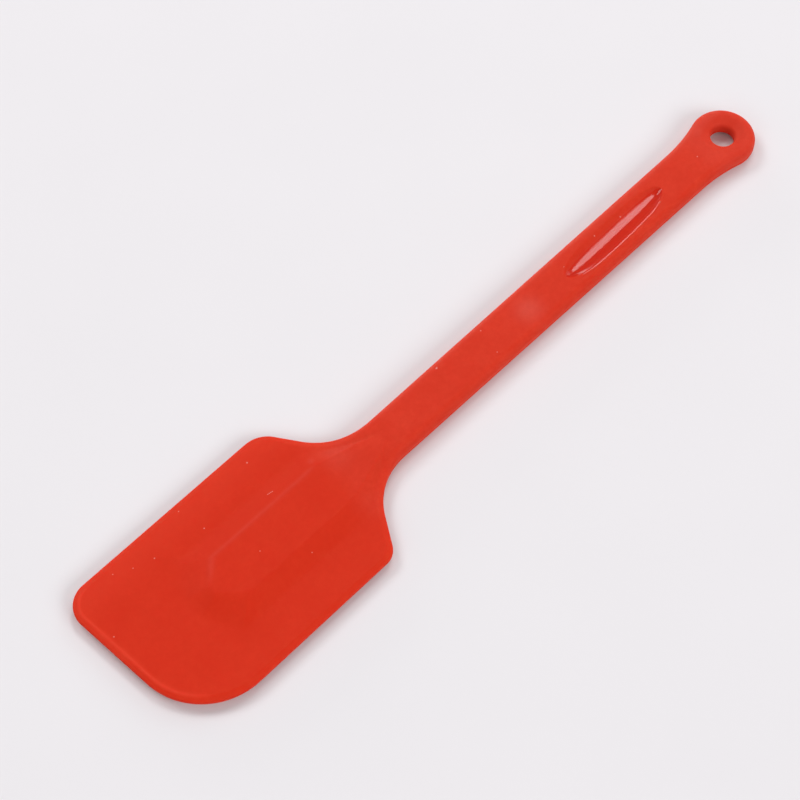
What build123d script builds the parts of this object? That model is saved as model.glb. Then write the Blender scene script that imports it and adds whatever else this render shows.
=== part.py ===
from build123d import *
from math import atan2, cos, degrees, isclose, radians, tan
import os

# Silicone spatula moulded in one piece over a stiff inner core, lying flat on its lower face.
# Millimetres. X runs from the blade's end to the hanging ring, Y across the blade and Z up.
# The origin is on the resting face, under the middle of the length. The two faces are mirror
# images about the mid plane, where the halves of the mould met.

# Whole part
overall_length = 260.0
thickness = 6.0

# Blade
blade_width = 55.5
blade_thickness = 2.4
shoulder_reach = 74.9        # blade end to the corner where the flank leaves the side
flank_angle = 57.0           # the flank's fall towards the handle, in degrees from the X axis
end_slant = 1.9              # the end edge leans this many degrees off square
small_corner_radius = 8.0
large_corner_radius = 22.0
shoulder_radius = 9.1
neck_radius = 21.5
lip_width = 1.8
lip_drop = 0.5
edge_radius = 0.45

# Grip
neck_width = 14.5
grip_width = 15.6
grip_edge_radius = 2.4
ring_diameter = 20.5
flare_radius = 58.0
hole_diameter = 7.5
throat_length = 3.8
dish_diameter = 13.2
dish_edge_radius = 0.6

# Thumb recess, an ellipse in the grip's face
recess_length = 43.5
recess_width = 7.8
recess_depth = 1.1
recess_to_ring = 50.85       # middle of the recess to the middle of the ring

# Pad over the core's tongue, a flat-topped rise in the blade with a long slope round it
pad_width = 15.2
pad_reach = 31.6             # blade end to the pad's end
pad_clip_length = 6.4        # each clipped corner at the pad's end, along the pad
pad_clip_width = 6.2         # the same corner, across the pad
pad_past_shoulder = 3.6      # shoulder to where the pad starts to narrow into the grip
pad_past_neck = 1.8          # neck corner to where the pad has run out in the grip's sides
side_slope = 6.3             # how far the slope spreads from the pad's sides
end_slope = 7.0              # how far it spreads from the pad's end
foot_clip_length = 5.4       # each clipped corner of the slope's foot, along the pad
foot_clip_width = 10.4
slope_easing_share = 0.17    # share of the slope, each side of its foot, that eases into the blade

# Inner core
core_thickness = 2.8
core_side_cover = 2.3        # silicone beside the core
core_end_cover = 3.2         # silicone past the core's two ends
core_edge_radius = 0.6
keying_hole_diameter = 4.0
keying_pitch = 12.0
keying_count = 4
keying_reach = 46.0          # blade end to the first keying hole

# Every cut runs this far past the face it starts from
cut_overrun = 1.0

# Edges within this of a level or a size are the ones meant
edge_match = 0.001

# Places worked out from the sizes
blade_end = -overall_length / 2
ring_x = overall_length / 2 - ring_diameter / 2
shoulder_x = blade_end + shoulder_reach
neck_x = shoulder_x + (blade_width - neck_width) / 2 / tan(radians(flank_angle))
recess_x = ring_x - recess_to_ring
pad_end_x = blade_end + pad_reach
pad_straight_x = shoulder_x + pad_past_shoulder
pad_blend_x = neck_x + pad_past_neck
half_thickness = thickness / 2
half_blade = blade_thickness / 2
mid_plane = Plane.XY.offset(half_thickness)
blade_face = mid_plane.offset(half_blade)
top_face = mid_plane.offset(half_thickness)


def grip_half_width(x):
    """Half the grip's width at x: its two sides spread evenly from the neck to the ring."""
    spread = (grip_width - neck_width) / (ring_x - neck_x)
    return (neck_width + spread * (x - neck_x)) / 2


def end_x(y):
    """X of the leaning end edge at y, placed so that the small corner just reaches blade_end."""
    corner_y = blade_width / 2 - small_corner_radius
    tangent_x = blade_end + small_corner_radius - small_corner_radius / cos(radians(end_slant))
    return tangent_x + (corner_y - y) * tan(radians(end_slant))


def both_sides(points):
    """Closed outline from the points on its +Y side, given from the blade's end to the ring."""
    return points + [(x, -y) for x, y in reversed(points)]


def between(inner, outer, share):
    """Outline that lies this share of the way from the inner one to the outer one."""
    return [
        (inner_x + (outer_x - inner_x) * share, inner_y + (outer_y - inner_y) * share)
        for (inner_x, inner_y), (outer_x, outer_y) in zip(inner, outer)
    ]


# Plan of the bar that runs from inside the pad through the grip to the hanging ring
with BuildSketch() as bar_plan:
    with BuildLine():
        Polyline(
            both_sides(
                [
                    (pad_straight_x, grip_half_width(pad_straight_x)),
                    (ring_x, grip_half_width(ring_x)),
                ]
            ),
            close=True,
        )
    make_face()
    with Locations((ring_x, 0)):
        Circle(ring_diameter / 2)
    flare_corners = bar_plan.vertices().filter_by_position(Axis.X, pad_blend_x, ring_x)
    fillet(flare_corners, flare_radius)

# Plan of the whole part: blade, shoulders, neck, grip and ring
with BuildSketch() as whole_plan:
    with BuildLine():
        FilletPolyline(
            (end_x(blade_width / 2), blade_width / 2),
            (end_x(-blade_width / 2), -blade_width / 2),
            (shoulder_x, -blade_width / 2),
            (neck_x, -neck_width / 2),
            (ring_x, -grip_width / 2),
            (ring_x, grip_width / 2),
            (neck_x, neck_width / 2),
            (shoulder_x, blade_width / 2),
            radius=[
                small_corner_radius,
                large_corner_radius,
                shoulder_radius,
                neck_radius,
                0,
                0,
                neck_radius,
                shoulder_radius,
            ],
            close=True,
        )
    make_face()
    add(bar_plan.sketch)

# Plan of the pad's flat top and of the foot of its slope, both narrowing into the grip
pad_half = pad_width / 2
foot_half = pad_half + side_slope
foot_end_x = pad_end_x - end_slope
pad_blend_half = grip_half_width(pad_blend_x)
pad_top = both_sides(
    [
        (pad_end_x, pad_half - pad_clip_width),
        (pad_end_x + pad_clip_length, pad_half),
        (pad_straight_x, pad_half),
        (pad_blend_x, pad_blend_half - grip_edge_radius - edge_radius),
    ]
)
pad_foot = both_sides(
    [
        (foot_end_x, foot_half - foot_clip_width),
        (foot_end_x + foot_clip_length, foot_half),
        (pad_straight_x, foot_half),
        (pad_blend_x, pad_blend_half - 2 * edge_radius),
    ]
)
slope_end = between(pad_top, pad_foot, 1 + slope_easing_share)
easing_start = between(pad_top, pad_foot, 1 - slope_easing_share)
easing_height = (half_thickness - half_blade) * slope_easing_share

# Core: a tongue in the blade, clipped like the pad over it, and a stem that stops short of the ring
tongue_half = pad_half - core_side_cover
tongue_end_x = pad_end_x + core_end_cover
stem_end_x = ring_x - hole_diameter / 2 - core_end_cover
with BuildPart() as nylon_core:
    with BuildSketch(mid_plane):
        with BuildLine():
            Polyline(
                both_sides(
                    [
                        (tongue_end_x, tongue_half - pad_clip_width / 2),
                        (tongue_end_x + pad_clip_length / 2, tongue_half),
                        (pad_straight_x, tongue_half),
                        (pad_blend_x, pad_blend_half - core_side_cover),
                        (stem_end_x, grip_half_width(stem_end_x) - core_side_cover),
                    ]
                ),
                close=True,
            )
        make_face()
        with Locations((blade_end + keying_reach + keying_pitch * (keying_count - 1) / 2, 0)):
            with GridLocations(keying_pitch, 0, keying_count, 1):
                Circle(keying_hole_diameter / 2, mode=Mode.SUBTRACT)
    extrude(amount=core_thickness / 2, both=True)
    stem_corners = nylon_core.edges().filter_by(Axis.Z).group_by(Axis.X)[-1]
    fillet(stem_corners, radius=core_side_cover)
    faces_up_and_down = nylon_core.faces().filter_by(Axis.Z)
    fillet(faces_up_and_down.edges(), radius=core_edge_radius)
nylon_core.part.label = "nylon_core"

# Upper half of the blade plate, with a sloped lip and a rounded edge all the way round
with BuildPart() as blade_plate:
    with BuildSketch(mid_plane):
        add(whole_plan.sketch)
    extrude(amount=half_blade - lip_drop)
    outer_rim = blade_plate.faces().sort_by(Axis.Z)[-1].edges()
    with BuildSketch(blade_face.offset(-lip_drop)):
        add(whole_plan.sketch)
    extrude(amount=lip_drop, taper=degrees(atan2(lip_width, lip_drop)))
    rim_height = outer_rim[0].center().Z
    fillet(
        blade_plate.edges().filter_by(lambda edge: isclose(edge.center().Z, rim_height)),
        radius=edge_radius,
    )

# Upper half of the grip and ring, with rounded sides
with BuildPart() as grip_bar:
    with BuildSketch(mid_plane):
        add(bar_plan.sketch)
    extrude(amount=half_thickness)
    fillet(grip_bar.faces().sort_by(Axis.Z)[-1].edges(), radius=grip_edge_radius)

# Silicone: the upper half's outer form, its mirror image below, then the room for the core
recess_arc_radius = (recess_width**2 / 4 + recess_depth**2) / (2 * recess_depth)
recess_axis_height = recess_arc_radius - recess_depth
with BuildPart() as silicone_overmould:
    add(blade_plate.part)
    add(grip_bar.part)
    # Pad and its slope, which eases into the blade at its foot
    with BuildSketch(mid_plane):
        Polygon(*slope_end, align=None)
    extrude(amount=half_blade)
    with BuildSketch(blade_face):
        Polygon(*slope_end, align=None)
    with BuildSketch(blade_face.offset(easing_height)):
        Polygon(*easing_start, align=None)
    with BuildSketch(top_face):
        Polygon(*pad_top, align=None)
    loft(ruled=True)
    # Thumb recess: a barrel on an axis above the face, so that its mark is a long ellipse
    with BuildSketch(Plane.XZ.shift_origin((recess_x, 0, thickness))):
        with BuildLine():
            ThreePointArc((-recess_length / 2, 0), (0, -recess_depth), (recess_length / 2, 0))
            Polyline(
                (recess_length / 2, 0),
                (recess_length / 2, recess_axis_height),
                (-recess_length / 2, recess_axis_height),
                (-recess_length / 2, 0),
            )
        make_face()
    recess_axis = Axis((recess_x, 0, thickness + recess_axis_height), (1, 0, 0))
    revolve(axis=recess_axis, mode=Mode.SUBTRACT)
    # Hanging hole, dished towards the face
    with BuildSketch(Plane.XZ.shift_origin((ring_x, 0, half_thickness))):
        with BuildLine():
            Polyline(
                (0, 0),
                (hole_diameter / 2, 0),
                (hole_diameter / 2, throat_length / 2),
                (dish_diameter / 2, half_thickness),
                (dish_diameter / 2, half_thickness + cut_overrun),
                (0, half_thickness + cut_overrun),
                close=True,
            )
        make_face()
    revolve(axis=Axis((ring_x, 0, 0), (0, 0, 1)), mode=Mode.SUBTRACT)
    dish_rim = (
        silicone_overmould.edges()
        .filter_by(GeomType.CIRCLE)
        .filter_by(lambda edge: isclose(edge.radius, dish_diameter / 2, abs_tol=edge_match))
    )
    fillet(dish_rim, radius=dish_edge_radius)
    mirror(about=mid_plane)
    add(nylon_core.part, mode=Mode.SUBTRACT)
silicone_overmould.part.label = "silicone_overmould"

os.makedirs("parts", exist_ok=True)
for piece in (silicone_overmould, nylon_core):
    export_step(piece.part, f"parts/{piece.part.label}.step")
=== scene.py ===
from cmath import exp, phase
from math import ceil, cos, pi, radians, sin, sqrt, tan
from types import SimpleNamespace

import bmesh
import bpy
import numpy as np
from bpy.props import FloatProperty, FloatVectorProperty, PointerProperty
from bpy.types import NodeSocket, Operator, Panel, PropertyGroup
from mathutils import Matrix, Vector
from mathutils.geometry import delaunay_2d_cdt
from mathutils.kdtree import KDTree


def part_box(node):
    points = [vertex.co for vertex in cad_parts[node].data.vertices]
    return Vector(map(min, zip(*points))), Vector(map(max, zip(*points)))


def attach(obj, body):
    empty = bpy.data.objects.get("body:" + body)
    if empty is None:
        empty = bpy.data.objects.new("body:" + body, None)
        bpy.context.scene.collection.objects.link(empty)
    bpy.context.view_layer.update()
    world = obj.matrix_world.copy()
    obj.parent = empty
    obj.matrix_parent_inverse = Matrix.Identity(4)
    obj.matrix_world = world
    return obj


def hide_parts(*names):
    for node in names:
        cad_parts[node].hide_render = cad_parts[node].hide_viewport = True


bl_info = {
    "name": "Silicone spatula",
    "version": (1, 0, 0),
    "blender": (4, 5, 0),
    "location": "View3D > Sidebar > Spatula",
    "description": "Dresses the packed silicone spatula and lights it as photographed",
    "category": "Object",
}

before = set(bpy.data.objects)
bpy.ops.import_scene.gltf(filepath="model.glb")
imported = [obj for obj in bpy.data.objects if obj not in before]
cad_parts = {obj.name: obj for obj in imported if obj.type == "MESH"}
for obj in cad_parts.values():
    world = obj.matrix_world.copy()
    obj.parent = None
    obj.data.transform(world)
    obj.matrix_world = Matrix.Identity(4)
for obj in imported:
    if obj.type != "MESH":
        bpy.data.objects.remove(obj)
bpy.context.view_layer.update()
body_low, body_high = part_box("silicone_overmould")

MM = 0.001

# Sizes are in millimetres, apart from those of the lights and the paper, which are in metres. Angles are in
# radians. A place along the spatula is given as its distance from the blade's end.

# Plan of the body: its corners, of which the shoulder on the -Y side is the sharper one as photographed, the
# blade's flank and the slant of its end
SMALL_CORNER = 8.0
LARGE_CORNER = 22.0
SHOULDER_ROUND = 9.1
NEAR_SHOULDER_ROUND = 5.8
NECK_ROUND = 21.5
FLARE_ROUND = 58.0
FLANK_ANGLE = radians(57)
END_SLANT = radians(1.9)

# Rim of the blade's thin lip from its flat outwards, as (distance in from the outline, height over the
# mid plane). The grip's rim is a quarter round of as many steps.
BLADE_RIM = [
    (2.4, 1.2), (2.0, 1.195), (1.8, 1.185), (1.6, 1.145), (1.0, 0.978),
    (0.5, 0.84), (0.25, 0.74), (0.1, 0.6), (0.02, 0.45), (0.0, 0.3),
]  # fmt: skip
# The parting line where the mould's halves met is a groove this deep, and this far from middle to side
PARTING_DEPTH = 0.04
PARTING_HALF_WIDTH = 0.12

# The blade thickens into the grip between these two places
THICKEN_FROM = 84.0
THICKEN_TO = 100.0

# Clipped corners at the pad's nose and at the foot of its slope, along and across the pad
NOSE_CLIP = (6.4, 6.2)
FOOT_CLIP = (5.4, 10.4)
# The pad's sides are straight up to the first place. At the second they have drawn together in the neck, to
# these half widths at the pad's edge and at the slope's foot.
PAD_STRAIGHT_TO = 78.5
NECK_TO = 90.0
NECK_HALF_PAD = 4.4
NECK_HALF_FOOT = 6.4
# Shares of the slope over which it is rounded at the pad's edge and eased into the blade, on either side
CREST_ROUND = 0.06
FOOT_EASING = 0.17
# A place's share of the slope is searched for in this range by halving it this many times
SHARE_RANGE = (-0.5, 1.6)
HALVINGS = 18

# Thumb recess: its slight turn against the grip, the powers that say how blunt its plan is and how late its
# floor rises at its ends, and how soft its rim is
RECESS_TURN = radians(1.4)
RECESS_BLUNTNESS = 3.5
RECESS_END_FALL = 16.0
RECESS_RIM = 0.08
# Its floor is worked out with no less than these where it runs out at its ends
RECESS_LEAST_HALF_WIDTH = 0.3
RECESS_LEAST_DEPTH = 0.1
# The polish reaches this far past the near side of its rim, over this share of its length, and ends this
# far inside the far side
RECESS_POLISH_NEAR = 0.5
RECESS_BRIGHT_RIM = 0.82
RECESS_POLISH_FAR = 0.25
# Shares of its half width between which the polish fades on the far side
RECESS_FADE = (0.3, 0.75)

# Dish round the hanging hole: its slope, how soft its rim is, and the round that leads into the hole's wall
DISH_SLOPE = radians(20)
DISH_RIM = 0.15
THROAT_ROUND = 1.4

# Mesh spacing over the faces, along crease lines and along the outline, and the turn between points of an arc
FACE_STEP = 0.66
CREASE_STEP = 0.8 * FACE_STEP
EDGE_STEP = 0.6
ARC_STEP = radians(1.5)
# The even points of the face keep this far from the points that lines and specks fix
GRID_GAP = 0.45 * FACE_STEP
# Points nearer to each other than this are one, in the mesh and, far nearer, in the cutting of its plan
MERGE_REACH = 0.01
CUT_REACH = 1e-7
# The mesh also follows lines this far out from the rims of the recess and the dish
RECESS_LINES = (-0.25, 0, 0.25, 0.5)
DISH_LINES = (-0.25, 0, 0.25)
# Lines beside the recess's rim are moved off it square to its long sides, which turn into its ends as late
# as this power says, and by this share away from its middle
LONG_SIDE_POWER = 8
OUTWARD_SHARE = 0.2
# Points on each long side of the recess before its rim is spaced evenly, round the dish, round the hole and
# round a speck, and rings over the round that leads into the hole
OVAL_POINTS = 80
DISH_POINTS = 72
HOLE_POINTS = 48
SPECK_POINTS = 6
THROAT_RINGS = 9

# Dust specks on the upper face, as (place along, Y, radius), and how pale they are
SPECKS = [
    (66.1, 22.7, 0.35), (43.3, 16.2, 0.3), (41.9, 25.3, 0.3), (48.8, -0.8, 0.25), (58.9, -11.1, 0.25),
    (27.3, 19.3, 0.3), (21.1, 21.3, 0.25), (15.9, 23.9, 0.25), (3.6, 9.7, 0.3), (204.0, 2.4, 0.35),
    (193.0, 3.2, 0.3), (178.0, 2.1, 0.3), (237.3, 0.0, 0.3), (125.7, 4.9, 0.3), (142.1, -3.9, 0.25),
    (144.1, 4.6, 0.3),
]  # fmt: skip
SPECK_BLOOM = 0.6
# A short scratch is a row of specks: the first one, the step to the next, and how many
SCRATCH_START = (62.9, 10.8, 0.25)
SCRATCH_STEP = (0.5, -0.1)
SCRATCH_COUNT = 4

# Pale smudges as (place along, Y, reach, strength)
SMUDGES = [
    (159.5, -0.3, 4.0, 0.05),
    (80.0, -11.0, 4.0, 0.01),
    (78.7, 9.5, 1.0, 0.03),
    (85.0, 5.5, 4.5, 0.015),
    (244.5, 7.0, 3.0, 0.035),
]
# Painted sheen along the pad's edge, where its rounding faces the light: where on the slope it lies and how
# far it reaches, as shares of the slope, how pale it is and how much paler on its +Y side, and the places
# where it sets in and has ended
CREST_SHEEN_AT = -0.02
CREST_SHEEN_REACH = 0.1
CREST_SHEEN = 0.002
CREST_SHEEN_MORE = 0.022
CREST_SHEEN_SIDE = (-4.0, 5.0)
CREST_SHEEN_FROM = (30.0, 36.0)
CREST_SHEEN_TO = (75.0, 80.0)
# The ring is pale all over, and painted sheen lightens the grip towards its +Y edge
RING_BLOOM = 0.012
RING_BLOOM_FROM = (234.0, 242.0)
GRIP_SHEEN = 0.03
GRIP_SHEEN_SIDE = (4.0, 7.5)
GRIP_SHEEN_FROM = (96.0, 106.0)

# Painted glow, as if light came through the silicone. The lip glows as far in from the outline as the first
# pair says, and more on its +Y side.
LIP_FADE = (1.0, 2.6)
LIP_GLOW = 0.1
LIP_GLOW_MORE = 0.15
LIP_GLOW_SIDE = (-5.0, 5.0)
# A painted highlight runs along the lip's crease near the blade's end, at this distance in from the outline
CREASE_INSET = 1.8
CREASE_REACH = 0.6
CREASE_GLOW = 0.6
CREASE_FADE = (4.0, 14.0)
# Painted glow lightens the thin blade towards its +Y side and, less, towards its -Y side
FAR_GLOW = 0.22
FAR_GLOW_SIDE = (14.0, 27.0)
NEAR_GLOW = 0.06
NEAR_GLOW_SIDE = (14.0, 26.0)

# Roughness, specular level and depth of the grain, in the satin silicone and in the polished recess
SATIN = (0.55, 0.12, 0.012)
POLISHED = (0.13, 0.5, 0.003)
# The blade's colour turns into the grip's paler one, which holds painted sheen, between this place and where
# the blade starts to thicken
GRIP_COLOUR_FROM = 77.0
# Widths that the patterns are drawn with: clouds of pigment and flecks in them, and clouds in the paper
PIGMENT_CLOUD = 9.09
PIGMENT_FLECK = 1.613
PAPER_CLOUD = 62.5
# The blasted mould's grain is too fine to show, so it is drawn this many times as coarse
MOULD_GRAIN = 0.1
GRAIN_COARSENING = 4
# The nylon's fibres are about 0.01 mm thick, so they are drawn wider to show
FIBRE_LENGTH = 3.03
FIBRE_DRAWN_WIDTH = 0.303

# Soft boxes as (name, direction, long side, wide side, power), in metres and watts, this far away
SOFT_BOXES = [
    ("high_box", (0.49, 0.27, 0.83), 0.8, 1.4, 20.5),
    ("ring_box", (0.85, 0.12, 0.5), 2.0, 1.2, 11.0),
    ("blade_box", (-0.8, -0.1, 0.55), 2.0, 1.2, 11.0),
    ("key_box", (-0.05, 0.68, 0.72), 1.6, 1.0, 26.0),
    ("low_box", (0.3, 0.94, 0.14), 2.2, 0.5, 14.0),
    ("right_box", (0.1, -0.8, 0.52), 2.0, 1.2, 36.0),
]
BOX_DISTANCE = 3.0
# A box whose direction has at least this much of X stands past an end of the spatula and lies across it
END_BOX_SHARE = 0.8
ROOM_STRENGTH = 0.29
PAPER_SIZE = 6.0

# The camera as fitted to the photograph: it looks down at 60 degrees, with the blade nearest and the ring
# far right
CAMERA_LOOK = (0.358, 0.349, -0.866)
CAMERA_AIM = (-18.16, 6.37, 3.0)
CAMERA_DISTANCE = 610.68
CAMERA_LENS = 94.5
CAMERA_SENSOR = 36.0
CAMERA_NEAR = 10.0

# A Mix node has several sockets of one name, so they go by number
FACTOR = 0
FLOAT_A = 2
FLOAT_B = 3
FLOAT_MIX = 0
COLOUR_A = 6
COLOUR_B = 7
COLOUR_MIX = 2


def linear_rgb(hex_colour):
    """The linear colour of an sRGB hex value such as D7301C."""
    channels = [int(hex_colour[i : i + 2], 16) / 255 for i in (0, 2, 4)]
    return tuple(c / 12.92 if c <= 0.04045 else ((c + 0.055) / 1.055) ** 2.4 for c in channels)


def length(name, default, description):
    """A property that holds a length."""
    return FloatProperty(name=name, description=description, default=default, min=0.0, unit="LENGTH")


def colour(name, hex_colour, description):
    """A property that holds a colour."""
    return FloatVectorProperty(
        name=name,
        description=description,
        default=linear_rgb(hex_colour),
        subtype="COLOR",
        min=0.0,
        max=1.0,
    )


class SpatulaSizes(PropertyGroup):
    """Sizes of the silicone body"""

    overall: length("Overall length", body_high.x - body_low.x, "Blade's end to the ring's tip")
    blade_width: length("Blade width", body_high.y - body_low.y, "Across the blade")
    thickness: length("Thickness", body_high.z - body_low.z, "Grip and pad, face to face")
    web: length("Blade thickness", 2.4 * MM, "Blade beside the pad, face to face")
    shoulder: length("Shoulder", 74.9 * MM, "Blade's end to the corner where its flank starts")
    neck_width: length("Neck width", 14.5 * MM, "Grip where it leaves the blade")
    grip_width: length("Grip width", 15.6 * MM, "Grip where it meets the ring")
    grip_edge: length("Grip edge", 2.4 * MM, "Radius of the grip's rounded edges")
    ring: length("Ring diameter", 20.5 * MM, "Outside of the hanging ring")
    hole: length("Hole diameter", 7.5 * MM, "Hanging hole")
    dish: length("Dish diameter", 14.2 * MM, "Dish round the hanging hole")
    recess_length: length("Recess length", 44.4 * MM, "Thumb recess, along the grip")
    recess_width: length("Recess width", 8.1 * MM, "Thumb recess, across the grip")
    recess_depth: length("Recess depth", 1.1 * MM, "Thumb recess at its middle")
    recess_to_ring: length("Recess place", 51.65 * MM, "Middle of the recess to the middle of the ring")
    pad_width: length("Pad width", 15.2 * MM, "Flat top of the pad over the core")
    pad_reach: length("Pad reach", 31.6 * MM, "Blade's end to the pad's nose")
    side_slope: length("Side slope", 6.3 * MM, "Spread of the slope beside the pad")
    end_slope: length("End slope", 7.0 * MM, "Spread of the slope before the nose")


class SpatulaColours(PropertyGroup):
    """Colours of the spatula and of the paper under it"""

    silicone: colour("Silicone", "DB3419", "Red pigmented silicone")
    silicone_deep: colour("Deep silicone", "D52E13", "The same pigment where it lies a little deeper")
    # The grip's paler colour is partly painted sheen, where its rougher skin catches more light
    grip: colour("Grip", "DE3D25", "The grip, a little paler from handling")
    grip_deep: colour("Deep grip", "D4331B", "The grip between its pale flecks")
    recess: colour("Recess", "D6280E", "The polished recess, where the pigment looks deepest")
    recess_deep: colour("Deep recess", "D02208", "The recess between its pale flecks")
    # Painted glow: the lip's colour as if light came through the thin silicone
    edge: colour("Edge", "EC4830", "Thin silicone at the lip, where light comes through")
    # Pale colour of the dust, and of the painted sheen on the pad's edge and the grip's +Y edge
    dust_and_sheen: colour("Bloom", "F2CFC6", "Pale bloom and dust on rubbed silicone")
    nylon: colour("Nylon", "3A3835", "Core of glass-filled nylon")
    nylon_fibre: colour("Nylon fibre", "4A4742", "Glass fibre that shows at the nylon's skin")
    paper: colour("Paper", "EEEBEE", "Paper under the spatula")


def own_names(group):
    """Names of the properties that a group holds itself."""
    return [name for name in group.bl_rna.properties.keys() if name not in ("rna_type", "name")]


def spatula_sizes(context):
    """The sizes in millimetres, with the places in the body's own frame that follow from them."""
    held = context.scene.spatula_sizes
    size = SimpleNamespace(**{name: getattr(held, name) / MM for name in own_names(held)})
    size.end = -size.overall / 2
    size.ring_x = size.overall / 2 - size.ring / 2
    size.neck_x = size.end + size.shoulder + (size.blade_width - size.neck_width) / 2 / tan(FLANK_ANGLE)
    size.recess_x = size.ring_x - size.recess_to_ring
    return size


# Plan of the body. Points in the plan are complex numbers, X + Y j.


def swept(middle, start, turn):
    """Points on an arc about a middle, from the arm start and through the angle turn."""
    steps = ceil(abs(turn) / ARC_STEP)
    return [middle + start * exp(1j * turn * k / steps) for k in range(steps + 1)]


def rounded(before, corner, after, radius):
    """Points on the arc that rounds a corner of the plan."""
    to_before = (before - corner) / abs(before - corner)
    to_after = (after - corner) / abs(after - corner)
    half = abs(phase(to_after / to_before)) / 2
    middle = corner + (to_before + to_after) / abs(to_before + to_after) * radius / sin(half)
    start = corner + to_before * radius / tan(half) - middle
    end = corner + to_after * radius / tan(half) - middle
    return swept(middle, start, phase(end / start))


def resampled(path, step, closed):
    """Points an even step apart along a path."""
    path = np.append(path, path[0]) if closed else np.array(path)
    along = np.concatenate([[0], np.cumsum(np.abs(np.diff(path)))])
    count = round(along[-1] / step)
    places = np.linspace(0, along[-1], count + 1)
    points = np.interp(places, along, path.real) + 1j * np.interp(places, along, path.imag)
    return points[:-1] if closed else points


def ring_path(size, neck, grip_end):
    """Points on the flare from the grip's -Y side into the ring, round the ring and back to the +Y side."""
    along = (grip_end - neck) / abs(grip_end - neck)
    flare_start = 1j * along * FLARE_ROUND
    # The flare touches the grip's side and the ring, so its middle lies both rounds away from the ring's
    reach = FLARE_ROUND + size.ring / 2
    offset = neck - flare_start - size.ring_x
    across = (offset * along.conjugate()).real
    run = -across - sqrt(across**2 - abs(offset) ** 2 + reach**2)
    middle = neck + along * run - flare_start
    flare_end = (size.ring_x - middle) / reach * FLARE_ROUND
    flare = swept(middle, flare_start, phase(flare_end / flare_start))
    ring_start = flare[-1] - size.ring_x
    ring_turn = phase(ring_start.conjugate() / ring_start) + 2 * pi
    ring = swept(complex(size.ring_x, 0), ring_start, ring_turn)
    return [*flare, *ring[1:-1], *[point.conjugate() for point in reversed(flare)]]


def body_outline(size):
    """Points round the body, anticlockwise, with the inward direction at each."""
    half = size.blade_width / 2
    tangent_x = size.end + SMALL_CORNER - SMALL_CORNER / cos(END_SLANT)

    def end_corner(y):
        """The end edge's corner at y. The edge leans, and its small corner just reaches the end."""
        return complex(tangent_x + (half - SMALL_CORNER - y) * tan(END_SLANT), y)

    small_corner = end_corner(half)
    large_corner = end_corner(-half)
    shoulder = complex(size.end + size.shoulder, -half)
    neck = complex(size.neck_x, -size.neck_width / 2)
    grip_end = complex(size.ring_x, -size.grip_width / 2)
    far_shoulder, far_neck, far_grip_end = (point.conjugate() for point in (shoulder, neck, grip_end))
    path = [
        *rounded(far_shoulder, small_corner, large_corner, SMALL_CORNER),
        *rounded(small_corner, large_corner, shoulder, LARGE_CORNER),
        *rounded(large_corner, shoulder, neck, NEAR_SHOULDER_ROUND),
        *rounded(shoulder, neck, grip_end, NECK_ROUND),
        *ring_path(size, neck, grip_end),
        *rounded(far_grip_end, far_neck, far_shoulder, NECK_ROUND),
        *rounded(far_neck, far_shoulder, small_corner, SHOULDER_ROUND),
    ]
    points = resampled(path, EDGE_STEP, True)
    tangent = np.roll(points, -1) - np.roll(points, 1)
    return points, 1j * tangent / np.abs(tangent)


def pad_edges(size):
    """The pad's top edge and the foot of its slope, from the neck round the nose and back to the neck."""
    nose = size.end + size.pad_reach
    half = size.pad_width / 2
    edges = []
    for end, spread, clip, neck_half in (
        (nose, half, NOSE_CLIP, NECK_HALF_PAD),
        (nose - size.end_slope, half + size.side_slope, FOOT_CLIP, NECK_HALF_FOOT),
    ):
        side = [
            complex(size.end + NECK_TO, neck_half),
            complex(size.end + PAD_STRAIGHT_TO, spread),
            complex(end + clip[0], spread),
            complex(end, spread - clip[1]),
        ]
        edges.append(np.array(side + [point.conjugate() for point in reversed(side)]))
    return edges


def slope_share(size, places):
    """How far down the pad's slope each place lies: 0 at the pad's edge, 1 at the slope's foot."""
    top, foot = pad_edges(size)
    low, high = (np.full(len(places), limit) for limit in SHARE_RANGE)
    for _ in range(HALVINGS):
        share = (low + high) / 2
        corners = top + (foot - top) * share[:, None]
        edges = corners[:, 1:] - corners[:, :-1]
        outward = -(np.conj(edges) * (places[:, None] - corners[:, :-1])).imag / np.abs(edges)
        outside = outward.max(axis=1) > 0
        low, high = np.where(outside, share, low), np.where(outside, high, share)
    return (low + high) / 2


# Heights of the upper face


def eased(value, low, high):
    """0 below low, 1 above high and a smooth rise between them."""
    share = np.clip((value - low) / (high - low), 0, 1)
    return share * share * (3 - 2 * share)


def lower_of(first, second, blend):
    """The lower of two heights, rounded where they cross."""
    return (first + second - np.sqrt((first - second) ** 2 + blend**2)) / 2


def ramp(share):
    """The slope's fall, rounded at the pad's edge and eased into the blade at its foot."""
    crest = np.where(share > CREST_ROUND, share, (share + CREST_ROUND) ** 2 / (4 * CREST_ROUND))
    fall = np.where(share < -CREST_ROUND, 0, crest)
    foot = 1 - (1 + FOOT_EASING - share) ** 2 / (4 * FOOT_EASING)
    return np.where(share < 1 - FOOT_EASING, fall, np.where(share > 1 + FOOT_EASING, 1, foot))


def grip_share(size, places):
    """0 on the blade and 1 on the grip, with a smooth rise where the blade thickens."""
    return eased(places.real - size.end, THICKEN_FROM, THICKEN_TO)


def recess_place(size, places):
    """Places seen from the middle of the thumb recess, along its own slightly turned axis."""
    return (places - size.recess_x) * exp(-1j * RECESS_TURN)


def recess_half_width(size, along):
    """Half the recess's width at the face, a long oval with blunt ends."""
    share = np.abs(2 * along / size.recess_length) ** RECESS_BLUNTNESS
    return size.recess_width / 2 * np.sqrt(np.maximum(1 - share, 0))


def recess_across(size, place):
    """How far across the recess a place lies, as a share of the half width there."""
    return place.imag / np.maximum(recess_half_width(size, place.real), RECESS_LEAST_HALF_WIDTH)


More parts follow.
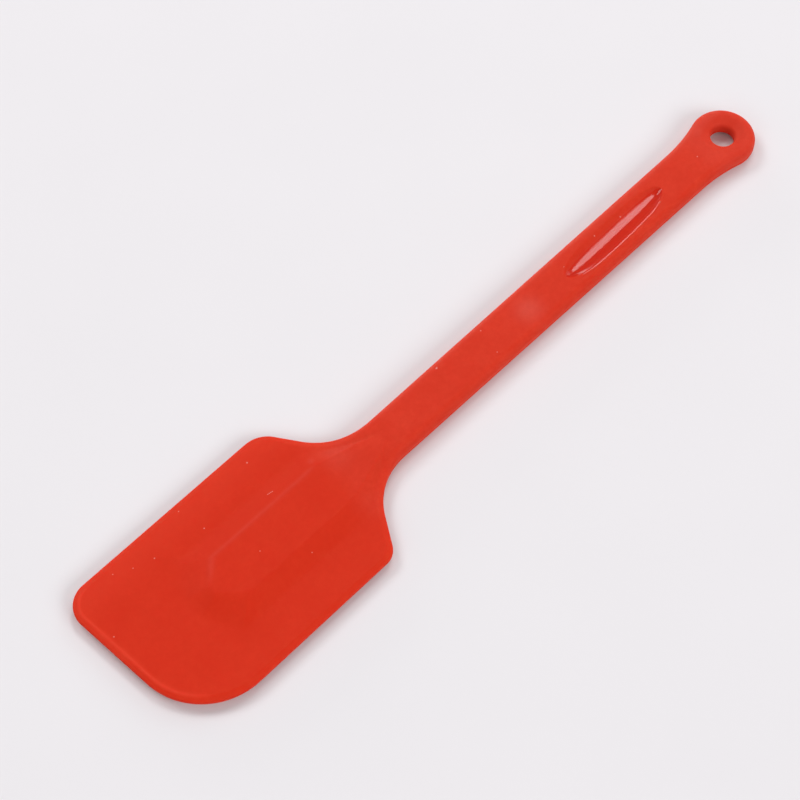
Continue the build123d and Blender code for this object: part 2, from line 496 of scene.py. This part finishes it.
def recess_floor(size, places):
    """Height of the recess's floor over the mid plane: a round bottomed channel that ends abruptly."""
    place = recess_place(size, places)
    along = np.abs(2 * place.real / size.recess_length)
    depth = size.recess_depth * (1 - np.minimum(along, 1) ** RECESS_END_FALL)
    past_end = np.maximum(along - 1, 0) * size.recess_length / 2
    rise = np.maximum(depth, RECESS_LEAST_DEPTH) * recess_across(size, place) ** 2
    return size.thickness / 2 - depth + rise + past_end


def face_height(size, places):
    """Height of the upper face over the mid plane."""
    top = size.thickness / 2
    web = size.web / 2 + (top - size.web / 2) * grip_share(size, places)
    height = top - (top - web) * ramp(slope_share(size, places))
    on_grip = places.real > size.end + THICKEN_TO
    height = np.where(on_grip, lower_of(height, recess_floor(size, places), RECESS_RIM), height)
    dish = top + (np.abs(places - size.ring_x) - size.dish / 2) * tan(DISH_SLOPE)
    return np.where(on_grip, lower_of(height, dish, DISH_RIM), height)


# Mesh of the body


def search_tree(points):
    """A search tree over points in the plan."""
    tree = KDTree(len(points))
    for k, point in enumerate(points):
        tree.insert((point.real, point.imag, 0), k)
    tree.balance()
    return tree


def nearest(tree, point):
    """Which of the tree's points is nearest to a point in the plan, and how far away it is."""
    _, k, distance = tree.find((point.real, point.imag, 0))
    return k, distance


def speck_places(size):
    """The middle and radius of each dust speck, with those that draw the scratch."""
    specks = [(complex(size.end + x, y), radius) for x, y, radius in SPECKS]
    x, y, radius = SCRATCH_START
    scratch = [(complex(size.end + x, y) + complex(*SCRATCH_STEP) * k, radius) for k in range(SCRATCH_COUNT)]
    return specks + scratch


def recess_lines(size):
    """Closed lines on and beside the recess's rim."""
    along = size.recess_length / 2 * np.cos(np.linspace(pi, 0, OVAL_POINTS))
    across = 1j * recess_half_width(size, along)
    oval = resampled(np.concatenate([along + across, (along - across)[-2:0:-1]]), CREASE_STEP, True)
    on_side = 1 - np.abs(2 * oval.real / size.recess_length) ** LONG_SIDE_POWER
    outward = 1j * np.sign(oval.imag) * on_side + oval / np.abs(oval) * OUTWARD_SHARE
    return [size.recess_x + (oval + outward * grow) * exp(1j * RECESS_TURN) for grow in RECESS_LINES]


def crease_lines(size, border, hole):
    """Lines that the mesh has to follow, each with whether it is closed."""
    top, foot = pad_edges(size)
    shares = (-CREST_ROUND, 0, CREST_ROUND, 1 - FOOT_EASING, 1, 1 + FOOT_EASING)
    slope = [resampled(top + (foot - top) * share, CREASE_STEP, False) for share in shares]
    angles = np.linspace(0, 2 * pi, DISH_POINTS, endpoint=False)
    dish = [size.ring_x + (size.dish / 2 + grow) * np.exp(1j * angles) for grow in DISH_LINES]
    closed = [(line, True) for line in (*recess_lines(size), *dish)]
    return [(border, True), (hole, True), *[(line, False) for line in slope], *closed]


def cut_plan(size, border, inward, hole):
    """Cut the body's plan into small even triangles that follow its crease lines."""
    lines = crease_lines(size, border, hole)
    joins, first = [], 0
    for line, closed in lines:
        count = len(line)
        joins += [(first + k, first + (k + 1) % count) for k in range(count if closed else count - 1)]
        first += count
    specks = speck_places(size)
    corners = [exp(2j * pi * k / SPECK_POINTS) for k in range(SPECK_POINTS)]
    round_specks = [middle + radius * corner for middle, radius in specks for corner in corners]
    middles = [middle for middle, _ in specks]
    fixed = np.concatenate([*[line for line, _ in lines], round_specks, middles])
    fixed_tree = search_tree(fixed)
    border_tree = search_tree(border)
    hole_radius = abs(hole[0] - size.ring_x)

    def within(point):
        """How far inside the border a point lies."""
        k, _ = nearest(border_tree, point)
        return ((point - border[k]) * inward[k].conjugate()).real

    def usable(point):
        """Whether an even point lies on the face and clear of the fixed points."""
        on_face = within(point) > 0 and abs(point - size.ring_x) > hole_radius
        return on_face and nearest(fixed_tree, point)[1] > GRID_GAP

    row = FACE_STEP * sqrt(3) / 2
    rows = int(size.blade_width / 2 / row) + 1
    columns = int(size.overall / FACE_STEP) + 1
    even = [
        complex(size.end + FACE_STEP * (i + (j % 2) / 2), j * row)
        for j in range(-rows, rows + 1)
        for i in range(columns)
    ]
    places = np.concatenate([fixed, [point for point in even if usable(point)]])
    cut = delaunay_2d_cdt([Vector((p.real, p.imag)) for p in places], joins, [], 0, CUT_REACH)
    points = np.array([complex(*point) for point in cut[0]])
    hole_reach = hole_radius * cos(pi / len(hole))
    faces = []
    for face in cut[2]:
        middle = points[list(face)].mean()
        if within(middle) > MERGE_REACH and abs(middle - size.ring_x) > hole_reach:
            faces.append(tuple(face))
    used = sorted({k for face in faces for k in face})
    order = {k: n for n, k in enumerate(used)}
    return points[used], [tuple(order[k] for k in face) for face in faces]


def add_upper_face(context, size, border, inward, hole):
    """Add the body as its upper face alone, over the mid plane."""
    places, faces = cut_plan(size, border, inward, hole)
    heights = face_height(size, places)
    mesh = bpy.data.meshes.new("silicone_body")
    mesh.from_pydata([(p.real * MM, p.imag * MM, z * MM) for p, z in zip(places, heights)], [], faces)
    body = bpy.data.objects.new("silicone_body", mesh)
    context.collection.objects.link(body)
    bpy.ops.object.select_all(action="DESELECT")
    context.view_layer.objects.active = body
    body.select_set(True)
    return body


def rim_rings(size, outline, inward, border):
    """Rings from the face's border round its rim and into the parting line, each (places, heights)."""
    on_grip = grip_share(size, border)
    rings = []
    for k, (inset, height) in enumerate(BLADE_RIM):
        angle = pi / 2 * (1 - k / (len(BLADE_RIM) - 1))
        grip_inset = size.grip_edge * (1 - cos(angle))
        grip_height = size.thickness / 2 - size.grip_edge * (1 - sin(angle))
        distance = inset + (grip_inset - inset) * on_grip
        rings.append((outline + inward * distance, height + (grip_height - height) * on_grip))
    level = np.ones(len(outline))
    rings.append((outline, level * PARTING_HALF_WIDTH))
    rings.append((outline + inward * PARTING_DEPTH, level * 0))
    return rings


def throat_rings(size):
    """Rings from the dish's floor round into the hole's wall and down it, each (places, heights)."""
    circle = np.exp(2j * pi * np.arange(HOLE_POINTS) / HOLE_POINTS)
    level = np.ones(HOLE_POINTS)
    angles = np.linspace(DISH_SLOPE, pi / 2, THROAT_RINGS)
    radii = size.hole / 2 + THROAT_ROUND * (1 - np.sin(angles))
    dish_depth = (size.dish / 2 - radii[0]) * tan(DISH_SLOPE)
    wall_top = size.thickness / 2 - dish_depth - THROAT_ROUND * cos(DISH_SLOPE)
    heights = wall_top + THROAT_ROUND * np.cos(angles)
    rings = [(size.ring_x + circle * radius, level * height) for radius, height in zip(radii, heights)]
    rings.append((size.ring_x + circle * size.hole / 2, level * 0))
    return rings


def extrude_rim(rings):
    """Extrude the open edge that lies on the first ring through the other rings."""
    mesh = bpy.context.edit_object.data
    previous = rings[0][0]
    for places, heights in rings[1:]:
        tree = search_tree(previous)
        bpy.ops.mesh.select_all(action="DESELECT")
        rim_mesh = bmesh.from_edit_mesh(mesh)
        for edge in rim_mesh.edges:
            if edge.is_boundary:
                middle = (edge.verts[0].co + edge.verts[1].co) / 2 / MM
                edge.select = nearest(tree, complex(middle.x, middle.y))[1] < EDGE_STEP
        rim_mesh.select_flush_mode()
        bmesh.update_edit_mesh(mesh)
        bpy.ops.mesh.extrude_edges_move()
        rim_mesh = bmesh.from_edit_mesh(mesh)
        for vert in rim_mesh.verts:
            if vert.select:
                k, _ = nearest(tree, complex(vert.co.x, vert.co.y) / MM)
                vert.co = Vector((places[k].real, places[k].imag, heights[k])) * MM
        bmesh.update_edit_mesh(mesh)
        previous = places


def add_lower_face(size, body):
    """Mirror the upper half of the body about the mid plane and stand it on its lower face."""
    mirror = body.modifiers.new("other_face", "MIRROR")
    mirror.use_axis = (False, False, True)
    mirror.merge_threshold = MERGE_REACH * MM
    bpy.ops.object.modifier_apply(modifier=mirror.name)
    bpy.ops.object.mode_set(mode="EDIT")
    bpy.ops.mesh.select_all(action="SELECT")
    bpy.ops.mesh.remove_doubles(threshold=MERGE_REACH * MM)
    bpy.ops.mesh.normals_make_consistent(inside=False)
    bpy.ops.transform.translate(value=(0, 0, size.thickness / 2 * MM))
    bpy.ops.object.mode_set(mode="OBJECT")
    bpy.ops.object.shade_smooth()


# Marks on the surface, stored on the mesh


def bell(distance, reach):
    """1 in the middle, falling smoothly to almost nothing at twice the reach."""
    return np.exp(-((distance / reach) ** 2))


def dust_and_sheen_share(size, places):
    """How pale the silicone is at each place: painted sheen along the pad's edge and the grip's +Y edge, the
    pale ring, smudges and dust specks.
    """
    along = places.real - size.end
    # Painted sheen along the pad's edge, stronger on its +Y side
    crest = CREST_SHEEN + CREST_SHEEN_MORE * eased(places.imag, *CREST_SHEEN_SIDE)
    crest = crest * bell(slope_share(size, places) - CREST_SHEEN_AT, CREST_SHEEN_REACH)
    crest *= eased(along, *CREST_SHEEN_FROM) * (1 - eased(along, *CREST_SHEEN_TO))
    ring = RING_BLOOM * eased(along, *RING_BLOOM_FROM)
    # Painted sheen on the grip towards its +Y edge
    grip = GRIP_SHEEN * eased(places.imag, *GRIP_SHEEN_SIDE) * eased(along, *GRIP_SHEEN_FROM)
    dust_and_sheen = np.maximum(np.maximum(crest, ring), grip)
    for x, y, reach, strength in SMUDGES:
        dust_and_sheen = np.maximum(dust_and_sheen, strength * bell(np.abs(places - complex(size.end + x, y)), reach))
    for middle, radius in speck_places(size):
        dust_and_sheen = np.where(np.abs(places - middle) < radius / 2, SPECK_BLOOM, dust_and_sheen)
    return dust_and_sheen


def painted_glow_share(size, places, outline):
    """How much painted glow lightens the silicone at each place, as if light came through it: most at the
    thin lip, with a painted highlight along its crease near the blade's end, and a little beside it.
    """
    tree = search_tree(outline)
    inset = np.array([nearest(tree, point)[1] for point in places])
    lip = 1 - eased(inset, *LIP_FADE)
    lip *= LIP_GLOW + LIP_GLOW_MORE * eased(places.imag, *LIP_GLOW_SIDE)
    crease = CREASE_GLOW * bell(inset - CREASE_INSET, CREASE_REACH)
    crease *= 1 - eased(places.real - size.end, *CREASE_FADE)
    lip = np.maximum(lip, crease)
    blade = FAR_GLOW * eased(places.imag, *FAR_GLOW_SIDE) + NEAR_GLOW * eased(-places.imag, *NEAR_GLOW_SIDE)
    on_grip = grip_share(size, places)
    return np.maximum(lip, blade) * (1 - on_grip) + lip * on_grip


def dull_share(size, places):
    """How far the recess's polish has faded into the satin skin on its far side."""
    return eased(recess_across(size, recess_place(size, places)), *RECESS_FADE)


def mark_surface(size, body, outline):
    """Store on the mesh where the silicone is pale with dust and painted sheen, where painted glow lightens
    it, and where it is dull.
    """
    mesh = body.data
    flat = np.empty(len(mesh.vertices) * 3)
    mesh.vertices.foreach_get("co", flat)
    spots = flat.reshape(-1, 3) / MM
    places = spots[:, 0] + 1j * spots[:, 1]
    upper = spots[:, 2] > size.thickness / 2
    shares = {
        "dust_and_sheen": np.where(upper, dust_and_sheen_share(size, places), 0),
        # Painted glow at the lip, along its crease and on the blade's sides
        "edge": painted_glow_share(size, places, outline),
        "dull": dull_share(size, places),
    }
    for name, share in shares.items():
        mesh.attributes.new(name, "FLOAT", "POINT").data.foreach_set("value", share)


def polish_recess(size, body):
    """Give the recess's faces the body's second material."""
    for face in body.data.polygons:
        place = recess_place(size, complex(face.center.x, face.center.y) / MM)
        half_width = recess_half_width(size, place.real)
        along = abs(2 * place.real / size.recess_length)
        past_rim = RECESS_POLISH_NEAR if along < RECESS_BRIGHT_RIM else 0
        polished = -half_width - past_rim < place.imag < half_width - RECESS_POLISH_FAR
        face.material_index = int(polished and along < 1)


# Materials


def add_node(tree, kind, links=None, **settings):
    """Add a node with its settings, and give its sockets values or other nodes' outputs."""
    new = tree.nodes.new(kind)
    for name, value in settings.items():
        setattr(new, name, value)
    for socket, value in (links or {}).items():
        if isinstance(value, NodeSocket):
            tree.links.new(value, new.inputs[socket])
        else:
            new.inputs[socket].default_value = value
    return new


def new_material(name):
    """A material with no nodes yet, and its node tree."""
    material = bpy.data.materials.new(name)
    material.use_nodes = True
    material.node_tree.nodes.clear()
    return material, material.node_tree


def rgba(value):
    """A colour as a colour socket takes it."""
    return (*value[:3], 1.0)


def patches(width):
    """The scale of a pattern whose patches are this many millimetres across."""
    return 1 / (width * MM)


def pigment_paleness(tree, places):
    """0 where the pigment looks deep and 1 where it looks pale, in clouds that hold small flecks."""
    cloud = add_node(
        tree,
        "ShaderNodeTexNoise",
        {"Vector": places, "Scale": patches(PIGMENT_CLOUD), "Detail": 3.0, "Roughness": 0.6},
    )
    fleck = add_node(
        tree,
        "ShaderNodeTexNoise",
        {"Vector": places, "Scale": patches(PIGMENT_FLECK), "Detail": 2.0, "Roughness": 0.7},
    )
    mottle = add_node(
        tree, "ShaderNodeMath", {0: cloud.outputs["Fac"], 1: fleck.outputs["Fac"]}, operation="MULTIPLY"
    )
    return add_node(
        tree, "ShaderNodeMapRange", {"Value": mottle.outputs["Value"], "From Min": 0.1, "From Max": 0.5}
    ).outputs["Result"]


def silicone_colour(tree, places, dull, size, colours, skin_colours):
    """The mottled colour of blade and grip, with painted glow where light would come through thin silicone,
    and dust and painted sheen over it.
    """
    paleness = pigment_paleness(tree, places)
    pairs = ((colours.silicone_deep, colours.silicone), skin_colours, (colours.grip_deep, colours.grip))
    blade, own_skin, grip = (
        add_node(
            tree,
            "ShaderNodeMix",
            {FACTOR: paleness, COLOUR_A: rgba(deep), COLOUR_B: rgba(pale)},
            data_type="RGBA",
        ).outputs[COLOUR_MIX]
        for deep, pale in pairs
    )
    # Where the recess has turned dull, it has the grip's colour
    skin = add_node(
        tree, "ShaderNodeMix", {FACTOR: dull, COLOUR_A: own_skin, COLOUR_B: grip}, data_type="RGBA"
    ).outputs[COLOUR_MIX]
    apart = add_node(tree, "ShaderNodeSeparateXYZ", {"Vector": places})
    on_grip = add_node(
        tree,
        "ShaderNodeMapRange",
        {
            "Value": apart.outputs["X"],
            "From Min": (size.end + GRIP_COLOUR_FROM) * MM,
            "From Max": (size.end + THICKEN_FROM) * MM,
        },
        interpolation_type="SMOOTHSTEP",
    ).outputs["Result"]
    painted_glow_mask, dust_and_sheen_mask = (
        add_node(tree, "ShaderNodeAttribute", attribute_name=mark, attribute_type="GEOMETRY").outputs["Fac"]
        for mark in ("edge", "dust_and_sheen")
    )
    tone = blade
    # Painted glow is laid over the lip, then dust and painted sheen
    for share, over in ((on_grip, skin), (painted_glow_mask, rgba(colours.edge)), (dust_and_sheen_mask, rgba(colours.dust_and_sheen))):
        links = {FACTOR: share, COLOUR_A: tone, COLOUR_B: over}
        tone = add_node(tree, "ShaderNodeMix", links, data_type="RGBA").outputs[COLOUR_MIX]
    return tone


def moulded_silicone(name, size, colours, skin_colours, finish):
    """Pigmented silicone as its mould left it.

    Silicone is soft rubber with a low IOR of 1.41, and its red is deep because light goes a little way in.
    Off a blasted mould it is satin, with a veil of dust and a fine grain. Off a polished insert it looks
    wet, and the polish fades into the satin where the insert ends.
    """
    roughness, specular, grain = finish
    satin_roughness, satin_specular, _ = SATIN
    material, tree = new_material(name)
    places = add_node(tree, "ShaderNodeTexCoord").outputs["Object"]
    dull = add_node(
        tree, "ShaderNodeAttribute", attribute_name="dull", attribute_type="GEOMETRY"
    ).outputs["Fac"]
    sheen = add_node(tree, "ShaderNodeMix", {FACTOR: dull, FLOAT_A: roughness, FLOAT_B: satin_roughness})
    gloss = add_node(tree, "ShaderNodeMix", {FACTOR: dull, FLOAT_A: specular, FLOAT_B: satin_specular})
    pits = add_node(
        tree,
        "ShaderNodeTexNoise",
        {"Vector": places, "Scale": patches(MOULD_GRAIN * GRAIN_COARSENING), "Detail": 1.0},
    )
    bump = add_node(
        tree, "ShaderNodeBump", {"Height": pits.outputs["Fac"], "Strength": 1.0, "Distance": grain * MM}
    )
    # Red light goes 2 mm into the silicone, green 0.24 mm and blue 0.16 mm
    shader = add_node(
        tree,
        "ShaderNodeBsdfPrincipled",
        {
            "Base Color": silicone_colour(tree, places, dull, size, colours, skin_colours),
            "Roughness": sheen.outputs[FLOAT_MIX],
            "IOR": 1.41,
            "Specular IOR Level": gloss.outputs[FLOAT_MIX],
            "Subsurface Weight": 0.5,
            "Subsurface Radius": (1.0, 0.12, 0.08),
            "Subsurface Scale": 2.0 * MM,
            "Normal": bump.outputs["Normal"],
        },
    )
    add_node(tree, "ShaderNodeOutputMaterial", {"Surface": shader.outputs["BSDF"]})
    return material


def moulded_nylon(colours):
    """Glass-filled nylon, injection moulded: dull, dark and hard, with short pale fibres at its skin."""
    material, tree = new_material("moulded glass-filled nylon")
    places = add_node(tree, "ShaderNodeTexCoord").outputs["Object"]
    # The fibres lie along the flow of the nylon, which is along the core
    fibre_scale = (patches(FIBRE_LENGTH), patches(FIBRE_DRAWN_WIDTH), patches(FIBRE_DRAWN_WIDTH))
    flow = add_node(tree, "ShaderNodeMapping", {"Vector": places, "Scale": fibre_scale})
    fibre = add_node(
        tree, "ShaderNodeTexNoise", {"Vector": flow.outputs["Vector"], "Scale": 1.0, "Detail": 2.0}
    )
    shown = add_node(
        tree, "ShaderNodeMapRange", {"Value": fibre.outputs["Fac"], "From Min": 0.5, "From Max": 0.75}
    )
    mixed = add_node(
        tree,
        "ShaderNodeMix",
        {FACTOR: shown.outputs["Result"], COLOUR_A: rgba(colours.nylon), COLOUR_B: rgba(colours.nylon_fibre)},
        data_type="RGBA",
    )
    bump = add_node(
        tree, "ShaderNodeBump", {"Height": fibre.outputs["Fac"], "Strength": 0.3, "Distance": 0.05 * MM}
    )
    shader = add_node(
        tree,
        "ShaderNodeBsdfPrincipled",
        {
            "Base Color": mixed.outputs[COLOUR_MIX],
            "Roughness": 0.6,
            "IOR": 1.53,
            "Normal": bump.outputs["Normal"],
        },
    )
    add_node(tree, "ShaderNodeOutputMaterial", {"Surface": shader.outputs["BSDF"]})
    return material


def studio_paper(colours):
    """Matt paper off a roll: near white, faintly cool, with a very weak cloudiness."""
    material, tree = new_material("matt studio paper")
    places = add_node(tree, "ShaderNodeTexCoord").outputs["Object"]
    cloud = add_node(
        tree, "ShaderNodeTexNoise", {"Vector": places, "Scale": patches(PAPER_CLOUD), "Detail": 2.0}
    )
    shade = add_node(
        tree, "ShaderNodeMapRange", {"Value": cloud.outputs["Fac"], "To Min": 0.985, "To Max": 1.015}
    )
    tone = add_node(
        tree,
        "ShaderNodeVectorMath",
        {0: tuple(colours.paper), "Scale": shade.outputs["Result"]},
        operation="SCALE",
    )
    shader = add_node(
        tree,
        "ShaderNodeBsdfPrincipled",
        {"Base Color": tone.outputs["Vector"], "Roughness": 0.9, "Specular IOR Level": 0.1},
    )
    add_node(tree, "ShaderNodeOutputMaterial", {"Surface": shader.outputs["BSDF"]})
    return material


# Stage


def add_camera(scene):
    """The camera that sees the spatula as the photograph does."""
    look = Vector(CAMERA_LOOK).normalized()
    bpy.ops.object.camera_add(location=(Vector(CAMERA_AIM) - look * CAMERA_DISTANCE) * MM)
    camera = bpy.context.object
    camera.name = "photo_camera"
    camera.rotation_euler = look.to_track_quat("-Z", "Y").to_euler()
    camera.data.lens = CAMERA_LENS
    camera.data.sensor_width = CAMERA_SENSOR
    camera.data.clip_start = CAMERA_NEAR * MM
    scene.camera = camera
    scene.view_settings.view_transform = "Standard"


def add_soft_box(name, towards, long_side, wide_side, energy):
    """A soft box that looks at the spatula from one side, its long side along the grip where it can."""
    along = Vector((1, 0, 0)) if abs(towards.x) < END_BOX_SHARE else Vector((0, 1, 0))
    along = (along - towards * along.dot(towards)).normalized()
    turn = Matrix((along, towards.cross(along), towards)).transposed().to_euler()
    bpy.ops.object.light_add(type="AREA", location=towards * BOX_DISTANCE, rotation=turn)
    box = bpy.context.object
    box.name = name
    box.data.shape = "RECTANGLE"
    box.data.size = long_side
    box.data.size_y = wide_side
    box.data.energy = energy


def add_room(scene):
    """The pale room round the stage."""
    world = bpy.data.worlds.new("pale_room")
    world.use_nodes = True
    background = world.node_tree.nodes["Background"]
    background.inputs["Color"].default_value = (1.0, 1.0, 1.0, 1.0)
    background.inputs["Strength"].default_value = ROOM_STRENGTH
    scene.world = world


class SPATULA_OT_stage(Operator):
    """Set the camera, the paper and the lights as photographed"""

    bl_idname = "spatula.stage"
    bl_label = "Camera, paper and lights"

    def execute(self, context):
        scene = context.scene
        add_camera(scene)
        bpy.ops.mesh.primitive_plane_add(size=PAPER_SIZE)
        paper = context.object
        paper.name = "paper"
        paper.data.materials.append(studio_paper(scene.spatula_colours))
        for name, towards, long_side, wide_side, energy in SOFT_BOXES:
            add_soft_box(name, Vector(towards).normalized(), long_side, wide_side, energy)
        add_room(scene)
        return {"FINISHED"}


class SPATULA_OT_silicone(Operator):
    """Model the silicone body: blade, pad, grip, thumb recess and hanging ring"""

    bl_idname = "spatula.silicone"
    bl_label = "Silicone body"

    def execute(self, context):
        size = spatula_sizes(context)
        outline, inward = body_outline(size)
        # The upper face lies between the border, where the rim starts, and the first ring of the hole
        border = outline + inward * BLADE_RIM[0][0]
        throat = throat_rings(size)
        body = add_upper_face(context, size, border, inward, throat[0][0])
        bpy.ops.object.mode_set(mode="EDIT")
        bpy.ops.mesh.select_mode(type="EDGE")
        extrude_rim(rim_rings(size, outline, inward, border))
        extrude_rim(throat)
        bpy.ops.object.mode_set(mode="OBJECT")
        add_lower_face(size, body)
        mark_surface(size, body, outline)

        colours = context.scene.spatula_colours
        grip = (colours.grip_deep, colours.grip)
        recess = (colours.recess_deep, colours.recess)
        for name, skin_colours, finish in (
            ("satin moulded silicone", grip, SATIN),
            ("polished moulded silicone", recess, POLISHED),
        ):
            body.data.materials.append(moulded_silicone(name, size, colours, skin_colours, finish))
        polish_recess(size, body)
        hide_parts("silicone_overmould")
        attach(body, "root")
        return {"FINISHED"}


class SPATULA_OT_core(Operator):
    """Give the core its nylon"""

    bl_idname = "spatula.core"
    bl_label = "Nylon core"

    def execute(self, context):
        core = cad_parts["nylon_core"]
        core.data.materials.clear()
        core.data.materials.append(moulded_nylon(context.scene.spatula_colours))
        return {"FINISHED"}


class SPATULA_PT_panel(Panel):
    """Builds the spatula piece by piece"""

    bl_idname = "SPATULA_PT_panel"
    bl_label = "Silicone spatula"
    bl_space_type = "VIEW_3D"
    bl_region_type = "UI"
    bl_category = "Spatula"

    def draw(self, context):
        for held in (context.scene.spatula_sizes, context.scene.spatula_colours):
            for name in own_names(held):
                self.layout.prop(held, name)
        for operator in (SPATULA_OT_stage, SPATULA_OT_silicone, SPATULA_OT_core):
            self.layout.operator(operator.bl_idname)


CLASSES = (
    SpatulaSizes,
    SpatulaColours,
    SPATULA_OT_stage,
    SPATULA_OT_silicone,
    SPATULA_OT_core,
    SPATULA_PT_panel,
)


def register():
    for cls in CLASSES:
        bpy.utils.register_class(cls)
    bpy.types.Scene.spatula_sizes = PointerProperty(type=SpatulaSizes)
    bpy.types.Scene.spatula_colours = PointerProperty(type=SpatulaColours)


def unregister():
    del bpy.types.Scene.spatula_colours
    del bpy.types.Scene.spatula_sizes
    for cls in reversed(CLASSES):
        bpy.utils.unregister_class(cls)


def main():
    register()
    bpy.ops.spatula.stage()
    bpy.ops.spatula.silicone()
    bpy.ops.spatula.core()


if __name__ == "__main__":
    main()
